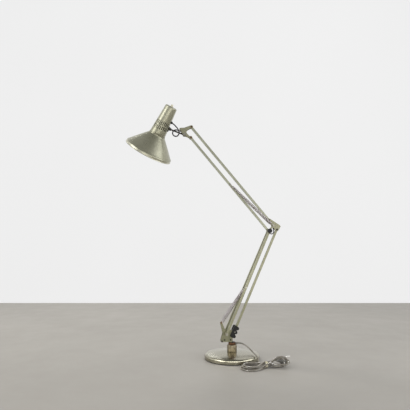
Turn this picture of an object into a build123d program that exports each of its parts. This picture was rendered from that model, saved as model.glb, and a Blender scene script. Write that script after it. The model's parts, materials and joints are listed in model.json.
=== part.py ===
from build123d import *
import os
from math import sin, cos, tan, pi, radians, degrees, sqrt, atan2, hypot

# ---------------------------------------------------------------------------
# Adjustable spring-balanced arm lamp.  Millimetres, +Z up, origin at the
# centre of the base underside.  The arms lie in the XZ plane, the head is
# towards -X.  The parts are written one STEP file per named piece.
# ---------------------------------------------------------------------------

# ---- driving dimensions ----
BASE_R = 98.5            # base radius
RIM_Z = 12.5             # height where the straight rim ends
DOME_Z = 24.8            # height of the flat seat in the middle
PAD_T = 2.5              # anti-slip pad under the base
COLLAR_R, COLLAR_TOP = 17.4, 50.0
BUSH_R, BUSH_TOP = 12.8, 57.5
SPINDLE_R = 6.0

P1 = (-22.2, 88.5)       # lower arm pivot on the turret
V12 = (31.2, 5.9)        # turret pivot pair and, equal, elbow pivot pair
LOWER = (164.0, 370.0)   # lower arm vector
V35 = (2.1, 40.6)        # elbow pivot pair and, equal, head bracket pivot pair
UPPER = (-293.5, 347.6)  # upper arm vector

def add(p, q, k=1.0):
    return (p[0] + k * q[0], p[1] + k * q[1])

P2 = add(P1, V12)
P3 = add(P1, LOWER)
P4 = add(P2, LOWER)
P5 = add(P3, V35)
P7 = add(P3, UPPER)
P6 = add(P5, UPPER)

BAR = 8.0                # square tube across flats
BORE = 6.0               # its inside
PIN_R = 2.0              # pivot pins
RUN = 0.06               # radial running clearance of a pin in a moving bar
OPEN = 0.35              # radial clearance at the two opened pivots P4 and P6

# sideways stack, half widths
Y_BAR = 4.0              # single bars on the centre line
Y_EP = (4.3, 5.8)        # elbow plates and head bracket plates
Y_TP = (4.5, 6.5)        # turret plates
Y_LB1, Y_LB3 = 17.5, 10.1   # the lower arm bars stand wider at the turret than at the elbow
Y_US = 10.2              # upper springs
Y_LS = 5.5               # lower springs, between the arm bars and in line with the turret plates
SPR_R, SPR_WALL = 3.3, 1.0
LSP_R, LSP_WALL = 4.75, 1.1   # the lower springs are fatter

A_PIN = (-38.9, 126.3)   # lower springs on the turret lever
B_PIN = add(P1, (0.40521, 0.91423), 179.0)      # lower springs on the arm
E_PIN = (158.5, 479.3)   # upper springs on the elbow plates
F_PIN = add(P3, (-0.64513, 0.76408), 225.9)     # upper springs on the arm

K_PIV = (-176.0, 816.5)  # head tilt pivot
N_PT = (-260.8, 0.0, 847.4)                     # swivel axis meets the neck axis
A_DIR = (-0.439, 0.375, -0.8165)                # neck axis, towards the opening

# the mains cord, from its outlet to where it joins the tied hank
CORD_R = 2.5
CORD_RUN = [
    (13.2, 1.5, 53.6), (28.0, 2.5, 54.4), (43.5, -1.5, 49.8), (57.0, -10.5, 41.0),
    (66.0, -26.0, 31.5), (71.0, -44.5, 26.0), (74.0, -63.5, 24.0), (76.5, -82.0, 14.5),
    (75.5, -100.0, 6.0), (69.0, -116.0, 3.2),
]
CORD_TAIL = [
    (99.5, -121.5, 15.2), (109.0, -110.0, 14.2), (122.5, -100.0, 13.2), (136.5, -96.0, 12.8),
]
# the cable loop between the neck and the tilt arm
HEAD_CABLE_R = 2.2
HEAD_CABLE_REST = [
    (-208.5, -10.8, 845.0), (-201.0, -11.3, 836.5), (-196.6, -11.8, 826.5), (-196.2, -12.0, 816.0),
    (-201.5, -12.1, 808.0), (-210.0, -11.9, 806.0), (-217.8, -11.4, 810.6), (-221.0, -10.4, 819.0),
    (-217.6, -8.8, 828.2), (-209.5, -6.8, 833.2), (-199.8, -4.4, 832.2), (-191.0, -1.9, 829.4), (-182.5, -0.4, 827.0),
]
ELBOW_CABLE_R = 1.7
ELBOW_CABLE = [(142.6, -10.2, 449.4), (149.6, -10.4, 446.6), (156.8, -9.6, 448.8), (160.4, -7.2, 455.6),
               (159.8, -3.4, 462.6), (159.4, -0.4, 469.6), (162.6, 0.3, 476.0)]

os.makedirs("parts", exist_ok=True)

# ---- helpers ----
def prism(face, y0, y1):
    """Extrude a face drawn in (X, Z) between two Y values."""
    return extrude(Plane.XZ.offset(-y1) * face, y1 - y0)

def disc(p, r):
    return Pos(p[0], p[1]) * Circle(r)

def cyl(p, r, y0, y1):
    return prism(disc(p, r), y0, y1)

def poly(*pts):
    return make_face(Polyline(*[(x, z) for x, z in pts], close=True))

def strip(p, q, w):
    """Round-ended flat strip from p to q."""
    l = hypot(q[0] - p[0], q[1] - p[1])
    ang = degrees(atan2(q[1] - p[1], q[0] - p[0]))
    return Pos((p[0] + q[0]) / 2, (p[1] + q[1]) / 2) * Rot(0, 0, ang) * SlotCenterToCenter(l, w)

def tube_bar(p, q, yc, holes):
    """Round-ended square tube from pivot p to pivot q, centred at y = yc."""
    l = hypot(q[0] - p[0], q[1] - p[1])
    ang = degrees(atan2(q[1] - p[1], q[0] - p[0]))
    body = prism(strip(p, q, BAR), yc - BAR / 2, yc + BAR / 2)
    mid = ((p[0] + q[0]) / 2, (p[1] + q[1]) / 2)
    core = prism(Pos(*mid) * Rot(0, 0, ang) * Rectangle(l + 20, BORE), yc - BORE / 2, yc + BORE / 2)
    body = body - core
    for c, r in holes:
        body = body - cyl(c, r, yc - BAR, yc + BAR)
    return body

def splayed_bar(p, q, yp, yq, s, holes):
    """Round-ended square tube from p at y = s*yp to q at y = s*yq."""
    l = hypot(q[0] - p[0], q[1] - p[1])
    ang = degrees(atan2(q[1] - p[1], q[0] - p[0]))
    mid = ((p[0] + q[0]) / 2, (p[1] + q[1]) / 2)
    body = prism(strip(p, q, BAR), -BAR / 2, BAR / 2)
    body = body - prism(Pos(*mid) * Rot(0, 0, ang) * Rectangle(l + 20, BORE), -BORE / 2, BORE / 2)
    u = ((q[0] - p[0]) / l, (q[1] - p[1]) / l)
    turn = s * degrees(atan2(yp - yq, l))
    body = body.rotate(Axis((mid[0], 0, mid[1]), (u[1], 0, -u[0])), turn)
    body = body.moved(Location((0, s * (yp + yq) / 2, 0)))
    for c, r in holes:
        body = body - cyl(c, r, -60, 60)
    return body

def both(make):
    """The same piece on the near side (-Y) and on the far side (+Y)."""
    return [make(-1), make(1)]

def span(s, a, b):
    """A Y interval a..b on side s."""
    return (a, b) if s > 0 else (-b, -a)

def rev(pts, hole=None):
    """Solid of revolution about Z from a closed (radius, z) outline."""
    f = make_face(Polyline(*[(r, z) for r, z in pts], close=True))
    return revolve(Plane.XZ * f, Axis.Z)

def rod(p, q, r):
    """Round rod between two 3-D points."""
    p, q = Vector(p), Vector(q)
    d = q - p
    return Plane(origin=p, z_dir=d) * Cylinder(r, d.length, align=(Align.CENTER, Align.CENTER, Align.MIN))

def route_tube(points, r, name):
    """Tube along straight runs joined by tangent arcs."""
    v = [Vector(*p) for p in points]
    radii = []
    for i in range(1, len(v) - 1):
        a, b = v[i] - v[i - 1], v[i + 1] - v[i]
        turn = radians(a.get_angle(b))
        radii.append(0.45 * min(a.length, b.length) / tan(turn / 2))
    path = FilletPolyline(*v, radius=radii)
    sect = Plane(origin=v[0], z_dir=(v[1] - v[0])) * Circle(r)
    t = sweep(sect, path=path)
    want = pi * r * r * path.length
    print(f"{name}: length {path.length:.0f} mm, radii " + " ".join(f"{x:.0f}" for x in radii)
          + f", volume {t.volume:.0f} of {want:.0f}")
    return t

made = []
def save(name, *items):
    solids = []
    for it in items:
        if isinstance(it, (list, tuple)):
            for k in it:
                solids += list(k.solids())
        else:
            solids += list(it.solids())
    export_step(solids[0] if len(solids) == 1 else Compound(children=solids), f"parts/{name}.step")
    made.append((name, len(solids)))

# ===========================================================================
# BASE
# ===========================================================================
save("base_pad", Cylinder(BASE_R - 4, PAD_T, align=(Align.CENTER, Align.CENTER, Align.MIN)))

weight = rev([(8.3, PAD_T), (BASE_R - 2.6, PAD_T), (BASE_R - 2.6, 11.4), (BASE_R - 8.4, 15.6),
              (60, 19.0), (20.5, 22.0), (8.3, 22.0)])
weight = weight - Pos(0, 0, PAD_T) * Cylinder(15.0, 8.0, align=(Align.CENTER, Align.CENTER, Align.MIN))
save("base_weight", weight)

# spun cover: straight rim, rounded edge, shallow dome with a flat seat
with BuildSketch(Plane.XZ) as cov:
    with BuildLine():
        o1 = Line((BASE_R, PAD_T + 0.3), (BASE_R, RIM_Z - 1.0))
        o2 = ThreePointArc((BASE_R, RIM_Z - 1.0), (BASE_R - 2.2, RIM_Z + 4.0), (BASE_R - 7.5, RIM_Z + 6.2))
        o3 = ThreePointArc((BASE_R - 7.5, RIM_Z + 6.2), (57.0, 22.5), (20.0, DOME_Z))
        o4 = Line((20.0, DOME_Z), (8.25, DOME_Z))
        i4 = Line((8.25, DOME_Z), (8.25, DOME_Z - 2.0))
        i3 = Line((8.25, DOME_Z - 2.0), (20.0, DOME_Z - 2.0))
        i2 = ThreePointArc((20.0, DOME_Z - 2.0), (57.0, 20.5), (BASE_R - 8.2, RIM_Z + 4.3))
        i1 = ThreePointArc((BASE_R - 8.2, RIM_Z + 4.3), (BASE_R - 3.7, RIM_Z + 2.5), (BASE_R - 2.0, RIM_Z - 1.0))
        i0 = Line((BASE_R - 2.0, RIM_Z - 1.0), (BASE_R - 2.0, PAD_T + 0.3))
        ib = Line((BASE_R - 2.0, PAD_T + 0.3), (BASE_R, PAD_T + 0.3))
    make_face()
save("base_cover", revolve(cov.sketch, Axis.Z))

# threaded post through the base, holding the collar and the bushing
post = rev([(6.15, 4.0), (8.0, 4.0), (8.0, COLLAR_TOP), (6.15, COLLAR_TOP)])
save("stem_post", post)
nut = Pos(0, 0, 4.8) * extrude(RegularPolygon(12.0, 6), 5.0)
save("stem_nut", nut - Cylinder(8.02, 40))

collar = rev([(8.1, DOME_Z), (COLLAR_R - 0.8, DOME_Z), (COLLAR_R, DOME_Z + 0.8), (COLLAR_R, COLLAR_TOP - 1.6),
              (COLLAR_R - 1.6, COLLAR_TOP), (8.1, COLLAR_TOP)])
save("stem_collar", collar)

bush = rev([(SPINDLE_R + 0.08, COLLAR_TOP), (BUSH_R, COLLAR_TOP), (BUSH_R, BUSH_TOP - 0.8),
            (BUSH_R - 0.8, BUSH_TOP), (SPINDLE_R + 0.08, BUSH_TOP)])
cd = (Vector(*CORD_RUN[1]) - Vector(*CORD_RUN[0])).normalized()
c0 = Vector(*CORD_RUN[0])
bush = bush - Plane(origin=c0 - cd * 4.3, z_dir=cd) * Cylinder(3.3, 12, align=(Align.CENTER, Align.CENTER, Align.MIN))
save("swivel_bushing", bush)

gp = Plane(origin=c0 - cd * 4.2, z_dir=cd)
grommet = gp * Cylinder(3.25, 4.2, align=(Align.CENTER, Align.CENTER, Align.MIN))
# the part in the hole, then a short sleeve round the cord
sleeve_pl = Plane(origin=c0, z_dir=cd)
sleeve = sleeve_pl * Cone(3.25, 2.8, 7.0, align=(Align.CENTER, Align.CENTER, Align.MIN))
grommet = grommet + sleeve - (sleeve_pl * Cylinder(CORD_R + 0.05, 9, align=(Align.CENTER, Align.CENTER, Align.MIN)))
save("cord_grommet", grommet)

# ===========================================================================
# TURRET: spindle, block, two cheek plates with the spring lever
# ===========================================================================
spindle = rev([(0, 27.0), (SPINDLE_R - 0.6, 27.0), (SPINDLE_R, 27.6), (SPINDLE_R, BUSH_TOP + 0.3),
               (11.0, BUSH_TOP + 0.3), (11.0, 59.4), (0, 59.4)])
block = prism(poly((-35.0, 59.4), (2.0, 59.4), (2.0, 73.0), (-8.0, 76.0), (-24.0, 76.0), (-35.0, 70.0)), -Y_TP[0] + 0.02, Y_TP[0] - 0.02)
block = block + spindle
for p in ((-28.0, 67.0), (-6.0, 67.0)):
    block = block - cyl(p, 1.6, -10, 10)
save("turret_block", block)

def cheek(s):
    y = span(s, *Y_TP)
    f = poly((-40.6, 60.5), (-38.6, 59.6), (-2.0, 59.6), (0.6, 61.4), (2.5, 79.0), (12.0, 86.0), (4.0, 100.5),
             (-13.0, 99.0), (-20.0, 104.0), (-27.0, 104.5), (-35.8, 127.1), (-42.1, 125.5), (-36.2, 101.0), (-33.8, 91.0), (-41.0, 66.0))
    f = f + disc(P2, 8.0) + disc(A_PIN, 3.2) + disc((-23.0, 91.5), 10.0)
    c = prism(f, *y)
    for p, r in ((P1, PIN_R + 0.5), (P2, PIN_R), (A_PIN, 2.0), ((-28.0, 67.0), 1.6), ((-6.0, 67.0), 1.6), ((-37.3, 62.2), 1.5)):
        c = c - cyl(p, r, y[0] - 1, y[1] + 1)
    return c
save("turret_plates", both(cheek))

# cross screws that clamp the cheeks to the block, and the stop bolt at the corner
def cross_screw(p, r, half, head_r, head_t):
    s = cyl(p, r, -half, half)
    return s + cyl(p, head_r, -half - head_t, -half) + cyl(p, head_r, half, half + head_t)
save("turret_screws", [cross_screw((-28.0, 67.0), 1.55, Y_TP[1], 3.0, 1.6), cross_screw((-6.0, 67.0), 1.55, Y_TP[1], 3.0, 1.6),
                       cross_screw((-37.3, 62.2), 1.45, Y_TP[1], 3.4, 2.6)])

# lower arm pivot bolt with low heads, and the sleeves that space the bars
YO1 = Y_LB1 + BAR / 2 + 0.2
bolt1 = cyl(P1, PIN_R + 0.44, -YO1, YO1) + cyl(P1, 4.6, -YO1 - 1.7, -YO1) + cyl(P1, 4.6, YO1, YO1 + 1.7)
save("lower_pivot_bolt", bolt1)

# link bolt: fixed in the cheeks, carrying a knob on each side
bolt2 = cyl(P2, PIN_R - 0.02, -12.2, 12.2)
save("link_bolt", bolt2)
save("turret_spacers", both(lambda s: cyl(P1, 5.0, *span(s, Y_TP[1] + 0.02, Y_LB1 - BAR / 2 - 0.2)) - cyl(P1, PIN_R + 0.46, -30, 30)))

# eyelets in the lever tips, that the lower springs hook through
def eyelet(s):
    e = cyl(A_PIN, 1.98, *span(s, Y_TP[0] - 0.3, Y_TP[1] + 0.3))
    e = e + cyl(A_PIN, 2.5, *span(s, Y_TP[0] - 0.45, Y_TP[0] - 0.02)) + cyl(A_PIN, 2.5, *span(s, Y_TP[1] + 0.02, Y_TP[1] + 0.45))
    return e - cyl(A_PIN, 1.35, -30, 30)
save("lower_spring_pin", both(eyelet))

# lobed friction knobs on the link bolt, one on each side of the turret, turning together
ux, uz = 0.40521, 0.91423        # along the lower arm
nx, nz = 0.91423, -0.40521       # to its right
def kp(a, b):
    return (P2[0] + a * ux + b * nx, P2[1] + a * uz + b * nz)
kf = poly(kp(-19.5, -10.5), kp(19.5, -10.5), kp(19.5, 3.5), kp(-19.5, 3.5))
kf = kf + poly(kp(-21.5, -8.5), kp(21.5, -8.5), kp(21.5, 2.0), kp(-21.5, 2.0))
for a in (-14.8, 0.0, 14.8):
    kf = kf + disc(kp(a, 3.5), 6.2)
def knob_half(s):
    k = prism(kf, *span(s, Y_TP[1] + 0.35, 12.3))
    for c in (kp(-7.4, 11.0), kp(7.4, 11.0)):
        k = k - cyl(c, 3.2, -40, 40)
    return k - cyl(P2, PIN_R + RUN, -40, 40)
save("link_knob", both(knob_half))

# ===========================================================================
# LOWER ARM: a pair of bars, and the single link bar
# ===========================================================================
lower_bars = both(lambda s: splayed_bar(P1, P3, Y_LB1, Y_LB3, s, [(P1, PIN_R + 0.5), (P3, PIN_R + 0.5), (B_PIN, 1.6)]))
save("lower_arm_bars", lower_bars)
YB = Y_LB1 + (Y_LB3 - Y_LB1) * 179.0 / hypot(LOWER[0], LOWER[1]) + BAR / 2 + 0.2
bpin = cyl(B_PIN, 1.55, -YB, YB) + cyl(B_PIN, 2.6, -YB - 1.3, -YB) + cyl(B_PIN, 2.6, YB, YB + 1.3)
save("lower_anchor_pin", bpin)
def along(p, v, k):
    return (p[0] + v[0] * k, p[1] + v[1] * k)
def in_bar(k):
    x, z = along(P1, LOWER, k)
    return (x, -(Y_LB1 + (Y_LB3 - Y_LB1) * k), z)
save("lower_arm_wire", [rod(in_bar(0.035), in_bar(0.43), 1.9), rod(in_bar(0.455), in_bar(0.965), 1.9)])

lower_link = tube_bar(P2, P4, 0.0, [(P2, PIN_R + RUN), (P4, PIN_R + OPEN)])
save("lower_link_bar", lower_link)

# ===========================================================================
# ELBOW
# ===========================================================================
def elbow_plate(s):
    y = span(s, *Y_EP)
    f = poly((143.9, 492.5), (149.5, 503.0), (185.0, 480.0), (187.6, 476.2), (180.5, 463.0), (173.0, 458.2),
             (166.0, 463.5), (157.0, 474.5), (150.5, 484.5))
    f = f + disc(P5, 6.4) + disc(P4, 6.4) + strip((160.0, 477.5), P3, 5.2) + disc(P3, 6.6)
    c = prism(f, *y)
    for p, r in ((P3, PIN_R + 0.42), (P4, PIN_R), (P5, PIN_R), (E_PIN, 1.6)):
        c = c - cyl(p, r, y[0] - 1, y[1] + 1)
    return c
save("elbow_plates", both(elbow_plate))

YO3 = Y_LB3 + BAR / 2 + 0.25
bolt3 = cyl(P3, PIN_R + 0.4, -YO3 - 6.0, YO3) + cyl(P3, 4.6, YO3, YO3 + 3.2)
save("elbow_bolt", bolt3)
save("elbow_washer", cyl(P3, 6.6, -YO3 - 1.1, -YO3) - cyl(P3, PIN_R + 0.42, -30, 30))
def link_pin(p):
    s = cyl(p, PIN_R - 0.02, -Y_EP[1] - 0.05, Y_EP[1] + 0.05)
    return s + cyl(p, 3.6, -Y_EP[1] - 0.75, -Y_EP[1] - 0.05) + cyl(p, 3.6, Y_EP[1] + 0.05, Y_EP[1] + 0.75)
save("elbow_link_pins", [link_pin(P4), link_pin(P5)])
epin = cyl(E_PIN, 1.55, -12.8, 12.8) + cyl(E_PIN, 2.5, -13.9, -12.8) + cyl(E_PIN, 2.5, 12.8, 13.9)
save("upper_spring_pin", epin)

KY = -YO3 - 1.3
kn = Plane(origin=(P3[0], KY, P3[1]), z_dir=(0, -1, 0), x_dir=(1, 0, 0))
knob3 = extrude(kn * Circle(8.3), 7.4) + extrude(kn.offset(7.4) * Circle(8.3), 2.0, taper=30)
for i in range(18):
    a = 2 * pi * i / 18
    knob3 = knob3 - cyl((P3[0] + 8.9 * cos(a), P3[1] + 8.9 * sin(a)), 1.0, -40, KY + 1)
knob3 = knob3 - cyl(P3, PIN_R + 0.46, KY - 5.0, KY + 1)
save("elbow_knob", knob3)

# ===========================================================================
# UPPER ARM
# ===========================================================================
save("upper_arm_bar", tube_bar(P3, P7, 0.0, [(P3, PIN_R + 0.46), (P7, PIN_R + RUN), (F_PIN, 1.6)]))
fpin = cyl(F_PIN, 1.55, -12.8, 12.8) + cyl(F_PIN, 2.5, -13.9, -12.8) + cyl(F_PIN, 2.5, 12.8, 13.9)
save("upper_anchor_pin", fpin)
u0, u1 = along(P3, UPPER, 0.03), along(P3, UPPER, 0.48)
u2, u3 = along(P3, UPPER, 0.51), along(P3, UPPER, 0.97)
save("upper_arm_wire", [rod((u0[0], 0, u0[1]), (u1[0], 0, u1[1]), 1.9), rod((u2[0], 0, u2[1]), (u3[0], 0, u3[1]), 1.9)])
save("upper_link_bar", tube_bar(P5, P6, 0.0, [(P5, PIN_R + RUN), (P6, PIN_R + OPEN)]))

# ===========================================================================
# HEAD BRACKET AND TILT ARM
# ===========================================================================
def bracket(s):
    y = span(s, *Y_EP)
    f = poly((-194.8, 839.5), (-193.0, 841.3), (-176.1, 843.0), (-164.8, 847.5), (-151.0, 853.0), (-144.8, 849.5),
             (-144.6, 843.6), (-156.5, 839.5), (-165.5, 833.5), (-168.5, 828.0), (-166.5, 821.0), (-158.5, 813.2),
             (-148.5, 808.5), (-147.5, 802.5), (-153.0, 801.6), (-162.0, 807.6), (-175.0, 812.0), (-181.0, 816.0))
    f = f + disc(P6, 6.2) + disc(P7, 5.8) + disc(K_PIV, 6.0)
    c = prism(f, *y)
    for p in (P6, P7, K_PIV):
        c = c - cyl(p, PIN_R, y[0] - 1, y[1] + 1)
    return c
save("head_bracket_plates", both(bracket))
save("bracket_pins", [link_pin(P6), link_pin(P7)])
tb = cyl(K_PIV, PIN_R - 0.02, -9.6, Y_EP[1] + 0.05) + cyl(K_PIV, 3.8, Y_EP[1] + 0.05, Y_EP[1] + 2.8)
save("tilt_bolt", tb)
tn = prism(Pos(*K_PIV) * RegularPolygon(5.2, 6), -10.4, -Y_EP[1] - 0.05) - cyl(K_PIV, PIN_R, -9.7, 0)
save("tilt_nut", tn)

N = Vector(*N_PT)
K3 = Vector(K_PIV[0], 0, K_PIV[1])
U = (K3 - N).normalized()                 # swivel axis, from the neck to the bracket
HUB_IN, HUB_OUT = 26.2, 35.0              # boss on the neck, distances from N along U
eye = cyl(K_PIV, 6.2, -3.9, 3.9) - cyl(K_PIV, PIN_R + RUN, -10, 10)
arm_end = N + U * (HUB_OUT + 0.3)
ra = K3 - U * 5.0
shaft = rod((arm_end.X, 0, arm_end.Z), (ra.X, 0, ra.Z), 2.8)
shaft = shaft - cyl(K_PIV, PIN_R + RUN, -10, 10)
disc_end = rod((arm_end.X, 0, arm_end.Z), ((arm_end + U * 2.6).X, 0, (arm_end + U * 2.6).Z), 5.0)
pin_in = N + U * 17.5
pin = rod((pin_in.X, 0, pin_in.Z), (arm_end.X, 0, arm_end.Z), 2.5)
save("tilt_arm", eye + shaft + disc_end + pin)

# ===========================================================================
# HEAD: local frame with its origin at N and +Z towards the closed top
# ===========================================================================
AV = Vector(*A_DIR).normalized()
ZL = AV * -1.0
XL = (U - ZL * U.dot(ZL)).normalized()
HEAD = Plane(origin=N, x_dir=XL, z_dir=ZL)
TOP, JUN, RIM = 80.0, -33.0, -110.5
R_TOP, R_JUN = 22.3, 30.6
WALL = 1.3

def neck_r(z):
    return R_JUN + (R_TOP - R_JUN) * (z - JUN) / (TOP - JUN)

with BuildSketch(Plane.XZ) as nk:
    with BuildLine():
        n1 = Line((neck_r(JUN) - 0.1, JUN + 0.15), (neck_r(TOP - 3.5), TOP - 3.5))
        n2 = ThreePointArc((neck_r(TOP - 3.5), TOP - 3.5), (R_TOP - 1.0, TOP - 1.0), (R_TOP - 3.6, TOP))
        n3 = Line((R_TOP - 3.6, TOP), (6.3, TOP))
        n4 = Line((6.3, TOP), (6.3, TOP - WALL))
        n5 = Line((6.3, TOP - WALL), (R_TOP - 3.9, TOP - WALL))
        n6 = ThreePointArc((R_TOP - 3.9, TOP - WALL), (R_TOP - 2.1, TOP - 2.1), (neck_r(TOP - 3.5) - WALL, TOP - 4.0))
        n7 = Line((neck_r(TOP - 3.5) - WALL, TOP - 4.0), (neck_r(JUN) - 0.1 - WALL, JUN + 0.15))
        n8 = Line((neck_r(JUN) - 0.1 - WALL, JUN + 0.15), (neck_r(JUN) - 0.1, JUN + 0.15))
    make_face()
neck = revolve(nk.sketch, Axis.Z)
# two staggered rows of vent slots, none behind the swivel boss
slots = []
for row, (zc, off) in enumerate(((13.5, 0.0), (-4.0, 0.5))):
    for i in range(26):
        ang = 360.0 * (i + off) / 26
        if min(ang % 360, 360 - ang % 360) < 24:
            continue
        cutr = Rot(0, 0, ang) * Pos(neck_r(zc), 0, zc) * Box(8, 2.7, 13.5)
        slots.append(cutr)
for s in slots:
    neck = neck - s
hub_l = HEAD.to_local_coords(N + U * 20.0)
NLOC = HEAD.location
neck_w = NLOC * neck
neck_w = neck_w - rod((N + U * 10.0), (N + U * 40.0), 5.1)
# wiring hole above the boss
CAB_ANG, CAB_Z = radians(-3), 28.5
CAB_AT = HEAD.from_local_coords(Vector(neck_r(CAB_Z) * cos(CAB_ANG), neck_r(CAB_Z) * sin(CAB_ANG), CAB_Z))
RADIAL = (CAB_AT - HEAD.from_local_coords(Vector(0, 0, CAB_Z))).normalized()
neck_w = neck_w - rod((CAB_AT - RADIAL * 6), (CAB_AT + RADIAL * 6), 3.6)
save("neck_housing", neck_w)
print("cable leaves the neck at", CAB_AT, "direction", RADIAL)

with BuildSketch(Plane.XZ) as sh:
    with BuildLine():
        a0 = (R_JUN + 0.9, JUN + 0.0)
        a1 = (R_JUN + 3.4, JUN - 6.2)
        a2 = (86.8, -96.4)
        a3 = (91.3, -101.4)
        a4 = (91.6, RIM + 1.8)
        s1_ = Spline(a0, (R_JUN + 1.5, JUN - 3.4), a1, tangents=[(0.03, -1.0), (53.4, -57.2)])
        s2_ = Line(a1, a2)
        s3_ = ThreePointArc(a2, (90.2, -98.8), a3)
        s4_ = Line(a3, a4)
        s5_ = ThreePointArc(a4, (93.0, RIM + 0.9), (91.6, RIM))
        s6_ = Line((91.6, RIM), (90.5, RIM))
        s7_ = Line((90.5, RIM), (90.2, -102.0))
        s8_ = ThreePointArc((90.2, -102.0), (89.4, -99.5), (86.1, -97.1))
        s9_ = Line((86.1, -97.1), (R_JUN + 2.7, JUN - 6.95))
        s10_ = Spline((R_JUN + 2.7, JUN - 6.95), (R_JUN + 0.6, JUN - 3.55), (R_JUN - 0.1, JUN), tangents=[(-53.4, 57.2), (-0.03, 1.0)])
        s11_ = Line((R_JUN - 0.1, JUN), a0)
    make_face()
shade = revolve(sh.sketch, Axis.Z)
save("shade", NLOC * shade)

boss = rod((N + U * HUB_IN), (N + U * HUB_OUT), 5.4)
flange = NLOC * (Pos(neck_r(0) + 1.2, 0, 2.0) * Box(3.0, 14, 19))
boss_all = boss + flange - (NLOC * Cone(neck_r(-60) + 0.05, neck_r(60) + 0.05, 120))
boss_all = boss_all - rod((N + U * 5.0), (N + U * 60.0), 2.5 + RUN)
save("swivel_boss", boss_all)
sn = rod((N + U * 17.4), (N + U * 20.6), 4.9) - rod((N + U * 10.0), (N + U * 30.0), 2.5)
save("swivel_nut", sn)

gr = rod((CAB_AT - RADIAL * 2.6), (CAB_AT + RADIAL * 5.0), 3.5)
gr = gr + rod((CAB_AT + RADIAL * 0.9), (CAB_AT + RADIAL * 2.6), 5.0)
gr = gr - rod((CAB_AT + RADIAL * 0.5), (CAB_AT + RADIAL * 9), HEAD_CABLE_R + 0.05)
save("cable_grommet", gr)

# cable from the neck: one loose loop beside the tilt arm, then in between the bracket plates
h0 = CAB_AT + RADIAL * 0.6
HEAD_CABLE = [tuple(h0), tuple(h0 + RADIAL * 9.0)] + HEAD_CABLE_REST
save("head_cable", route_tube(HEAD_CABLE, HEAD_CABLE_R, "head_cable"))
print("head cable starts", [tuple(round(k, 2) for k in p) for p in HEAD_CABLE[:2]])
# short cable loop at the elbow, from the near lower bar in between the elbow plates
save("elbow_cable", route_tube(ELBOW_CABLE, ELBOW_CABLE_R, "elbow_cable"))

holder = rev([(0, 44.0), (13.0, 44.0), (17.0, 40.0), (17.0, 24.0), (15.0, 22.0), (15.0, -16.0), (13.6, -16.0), (13.6, 10.0), (0, 10.0)])
save("lampholder", NLOC * holder)
cap = rev([(0, 9.0), (4.5, 9.0), (12.0, 6.0), (13.0, 4.0), (13.0, -18.0), (0, -18.0)])
save("bulb_cap", NLOC * cap)
with BuildSketch(Plane.XZ) as bg:
    with BuildLine():
        b2 = Spline((13.6, -18.0), (17.5, -31.0), (26.6, -46.0), (30.0, -62.0), tangents=[(0, -1), (0, -1)])
        b3 = RadiusArc((30.0, -62.0), (0, -92.0), 30.0)
        b4 = Line((0, -92.0), (0, -91.1))
        b5 = RadiusArc((0, -91.1), (29.1, -62.0), -29.1)
        b6 = Spline((29.1, -62.0), (25.8, -46.0), (16.7, -31.0), (12.8, -18.0), tangents=[(0, 1), (0, 1)])
        b7 = Line((12.8, -18.0), (13.6, -18.0))
    make_face()
save("bulb_glass", NLOC * revolve(bg.sketch, Axis.Z))

swb = rev([(4.6, TOP - 4.0), (9.0, TOP - 4.0), (9.0, TOP - 26.0), (0, TOP - 26.0), (0, TOP - 20.0), (4.6, TOP - 20.0)])
save("switch_body", NLOC * swb)
bez = rev([(4.62, TOP - WALL - 1.6), (8.0, TOP - WALL - 1.6), (8.0, TOP - WALL - 0.02), (6.2, TOP - WALL - 0.02), (6.2, TOP + 1.2), (4.62, TOP + 1.2)])
save("switch_bezel", NLOC * bez)
btn = rev([(0, TOP - 15.5), (4.45, TOP - 15.5), (4.45, TOP + 6.6), (3.3, TOP + 8.2), (0, TOP + 8.6)])
save("switch_button", NLOC * btn)

# ===========================================================================
# SPRINGS: coil pairs with a hooked wire at each end
# ===========================================================================
def spring_set(p, q, yc, gap_p, gap_q, name_coil, name_p, name_q, sr=SPR_R, sw=SPR_WALL, cross=False):
    l = hypot(q[0] - p[0], q[1] - p[1])
    d = ((q[0] - p[0]) / l, (q[1] - p[1]) / l)
    def pt(k, s):
        return (p[0] + d[0] * k, s * yc, p[1] + d[1] * k)
    coil = [rod(pt(gap_p, s), pt(l - gap_q, s), sr) - rod(pt(gap_p - 1, s), pt(l - gap_q + 1, s), sr - sw) for s in (-1, 1)]
    save(name_coil, coil)
    def hook(c, k0, k1, s):
        ring = cyl(c, 3.1, s * yc - 0.6, s * yc + 0.6) - cyl(c, 1.75, s * yc - 2, s * yc + 2)
        return ring + rod(pt(k0, s), pt(k1, s), 0.6)
    def cross_hook(s):
        # a ring that passes crosswise through the eyelet, and its shank
        ring = Plane(origin=pt(2.2, s), z_dir=(-d[1], 0, d[0])) * Torus(2.2, 0.55)
        return ring + rod(pt(4.3, s), pt(gap_p - 0.1, s), 0.6)
    save(name_p, [cross_hook(s) if cross else hook(p, 2.5, gap_p - 0.1, s) for s in (-1, 1)])
    save(name_q, [hook(q, l - gap_q + 0.1, l - 2.5, s) for s in (-1, 1)])
    print(name_coil, "length between pins %.2f" % l, "direction", d)
spring_set(A_PIN, B_PIN, Y_LS, 9.0, 13.0, "lower_springs", "lower_spring_hooks", "lower_spring_ends", LSP_R, LSP_WALL, True)
spring_set(E_PIN, F_PIN, Y_US, 15.5, 11.5, "upper_springs", "upper_spring_hooks", "upper_spring_ends")

# ===========================================================================
# CABLES
# ===========================================================================
run = route_tube(CORD_RUN, CORD_R, "mains_cord_run")
save("mains_cord_run", run)
tail = route_tube(CORD_TAIL, CORD_R, "mains_cord_tail")
save("mains_cord_tail", tail)

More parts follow.
